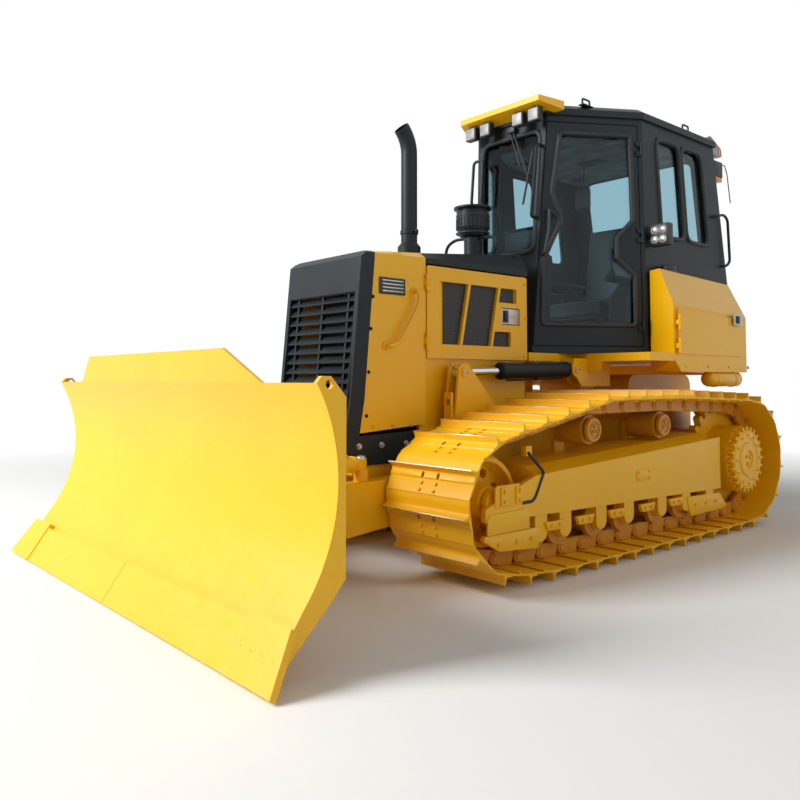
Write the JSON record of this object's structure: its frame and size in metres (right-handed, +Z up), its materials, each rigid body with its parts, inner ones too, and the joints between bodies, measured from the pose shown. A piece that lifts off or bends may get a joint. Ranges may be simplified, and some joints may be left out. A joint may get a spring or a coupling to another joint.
{
  "type": "bulldozer",
  "caption": "Crawler bulldozer with wide tracks, an enclosed cab, a louvred engine hood and a front blade that lifts, angles and tilts on a C-shaped push frame.",
  "frame": {"origin": "on the ground under the middle of the machine, blade included", "axes": "+X to the machine's left, +Y to its rear, +Z up; the blade faces -Y"},
  "size_m": [2.98, 4.9168, 3.012],
  "materials": {
    "yellow_paint": "semi-gloss enamel",
    "black_paint": "satin enamel",
    "roller_paint": "semi-gloss enamel, thin on wear faces",
    "track_steel": "enamel over rolled steel",
    "edge_steel": "enamel over heat-treated steel",
    "chromed_rod": "ground and hard-chromed",
    "cast_iron": "painted casting",
    "window_glass": "tempered, lightly tinted",
    "seat_vinyl": "grained vinyl",
    "console_plastic": "fine grain",
    "lamp_plastic": "moulded housing"
  },
  "bodies": {
    "machine": {"cab_frame": "black_paint", "cab_glass": "window_glass", "cab_roof": "black_paint", "console": "console_plastic", "engine": "cast_iron", "exhaust": "black_paint", "final_drives": "roller_paint", "front_guard": "black_paint", "grille": "black_paint", "grille_surround": "black_paint", "hood": "black_paint", "hood_frame": "yellow_paint", "idlers": "roller_paint", "main_frame": "yellow_paint", "nose_panels": "yellow_paint", "platform": "yellow_paint", "pre_cleaner": "black_paint", "rear_tank": "yellow_paint", "rollers": "roller_paint", "seat": "seat_vinyl", "tank_left": "yellow_paint", "tank_right": "yellow_paint", "track_frame_left": "roller_paint", "track_frame_right": "roller_paint", "track_left": "track_steel", "track_right": "track_steel", "visor": "yellow_paint", "work_lamps": "lamp_plastic"},
    "push_frame": {"c_frame": "yellow_paint"},
    "yoke": {"blade_yoke": "yellow_paint"},
    "blade": {"blade": "yellow_paint", "cutting_edge": "edge_steel"},
    "lift_barrel_left": {"lift_barrel_left": "black_paint"},
    "lift_rod_left": {"lift_rod_left": "chromed_rod"},
    "angle_barrel_left": {"angle_barrel_left": "yellow_paint"},
    "angle_rod_left": {"angle_rod_left": "chromed_rod"},
    "engine_door_left": {"engine_door_left": "yellow_paint"},
    "tank_door_left": {"tank_door_left": "yellow_paint"},
    "cab_door_left": {"cab_door_left": "black_paint", "door_glass_left": "window_glass"},
    "lift_barrel_right": {"lift_barrel_right": "black_paint"},
    "lift_rod_right": {"lift_rod_right": "chromed_rod"},
    "angle_barrel_right": {"angle_barrel_right": "yellow_paint"},
    "angle_rod_right": {"angle_rod_right": "chromed_rod"},
    "engine_door_right": {"engine_door_right": "yellow_paint"},
    "tank_door_right": {"tank_door_right": "yellow_paint"},
    "cab_door_right": {"cab_door_right": "black_paint", "door_glass_right": "window_glass"},
    "tilt_barrel": {"tilt_barrel": "yellow_paint"},
    "tilt_rod": {"tilt_rod": "chromed_rod"}
  },
  "joints": [
    {"name": "c_frame_lift", "type": "hinge", "parent": "machine", "child": "push_frame", "pos_m": [0, 0.47, 0.5], "axis": [-1, 0, 0], "range_deg": [-8.5, 18]},
    {"name": "blade_angle", "type": "hinge", "parent": "push_frame", "child": "yoke", "pos_m": [0, -1.9, 0.4], "axis": [0, 0, 1], "range_deg": [-25, 25]},
    {"name": "blade_tilt", "type": "hinge", "parent": "yoke", "child": "blade", "pos_m": [0, -2.06, 0.4], "axis": [0, 1, 0], "range_deg": [-6, 6]},
    {"name": "lift_barrel_left", "type": "hinge", "parent": "machine", "child": "lift_barrel_left", "pos_m": [0.42, 0.604, 1.131], "axis": [-1, 0, 0], "range_deg": [-8.18, 16.76]},
    {"name": "lift_rod_left", "type": "slide", "parent": "lift_barrel_left", "child": "lift_rod_left", "axis": [0, -0.9997, -0.0237], "range_m": [-0.2022, 0.0971]},
    {"name": "angle_barrel_left", "type": "hinge", "parent": "push_frame", "child": "angle_barrel_left", "pos_m": [0.41, -1.23, 0.612], "axis": [0, 0, 1], "range_deg": [-7.61, 7.61]},
    {"name": "angle_rod_left", "type": "slide", "parent": "angle_barrel_left", "child": "angle_rod_left", "axis": [0.1852, -0.9827, 0], "range_m": [-0.233, 0.233]},
    {"name": "lift_barrel_right", "type": "hinge", "parent": "machine", "child": "lift_barrel_right", "pos_m": [-0.42, 0.604, 1.131], "axis": [-1, 0, 0], "range_deg": [-8.18, 16.76]},
    {"name": "lift_rod_right", "type": "slide", "parent": "lift_barrel_right", "child": "lift_rod_right", "axis": [0, -0.9997, -0.0237], "range_m": [-0.2022, 0.0971]},
    {"name": "angle_barrel_right", "type": "hinge", "parent": "push_frame", "child": "angle_barrel_right", "pos_m": [-0.41, -1.23, 0.612], "axis": [0, 0, 1], "range_deg": [-7.61, 7.61]},
    {"name": "angle_rod_right", "type": "slide", "parent": "angle_barrel_right", "child": "angle_rod_right", "axis": [-0.1852, -0.9827, 0], "range_m": [-0.233, 0.233]},
    {"name": "tilt_barrel", "type": "hinge", "parent": "yoke", "child": "tilt_barrel", "pos_m": [-0.26, -2.04, 0.66], "axis": [0, 1, 0], "range_deg": [-3.5, 3.5]},
    {"name": "tilt_rod", "type": "slide", "parent": "tilt_barrel", "child": "tilt_rod", "axis": [1, 0, 0], "range_m": [-0.0302, 0.0302]},
    {"name": "cab_door_left", "type": "hinge", "parent": "machine", "child": "cab_door_left", "pos_m": [0.7065, 1.06082, 2.08], "axis": [0, 0, 1], "range_deg": [0, 90]},
    {"name": "engine_door_left", "type": "hinge", "parent": "machine", "child": "engine_door_left", "pos_m": [0.369, -0.703, 1.46], "axis": [0, 0, -1], "range_deg": [0, 100]},
    {"name": "tank_door_left", "type": "hinge", "parent": "machine", "child": "tank_door_left", "pos_m": [0.9833, 1.054, 1.39], "axis": [0, 0, -1], "range_deg": [0, 100]},
    {"name": "cab_door_right", "type": "hinge", "parent": "machine", "child": "cab_door_right", "pos_m": [-0.7065, 1.06082, 2.08], "axis": [0, 0, -1], "range_deg": [0, 90]},
    {"name": "engine_door_right", "type": "hinge", "parent": "machine", "child": "engine_door_right", "pos_m": [-0.369, -0.703, 1.46], "axis": [0, 0, 1], "range_deg": [0, 100]},
    {"name": "tank_door_right", "type": "hinge", "parent": "machine", "child": "tank_door_right", "pos_m": [-0.9833, 1.054, 1.39], "axis": [0, 0, 1], "range_deg": [0, 100]}
  ],
  "couplings": [
    {"joint": "lift_barrel_left", "follows": "c_frame_lift", "ratio": 0.9031},
    {"joint": "lift_rod_left", "follows": "c_frame_lift", "m_per_rad": -0.634},
    {"joint": "angle_barrel_left", "follows": "blade_angle", "ratio": 0.2842},
    {"joint": "angle_rod_left", "follows": "blade_angle", "m_per_rad": -0.5272},
    {"joint": "lift_barrel_right", "follows": "c_frame_lift", "ratio": 0.9031},
    {"joint": "lift_rod_right", "follows": "c_frame_lift", "m_per_rad": -0.634},
    {"joint": "angle_barrel_right", "follows": "blade_angle", "ratio": 0.2842},
    {"joint": "angle_rod_right", "follows": "blade_angle", "m_per_rad": 0.5272},
    {"joint": "tilt_barrel", "follows": "blade_tilt", "ratio": 0.5},
    {"joint": "tilt_rod", "follows": "blade_tilt", "m_per_rad": 0.2599}
  ]
}
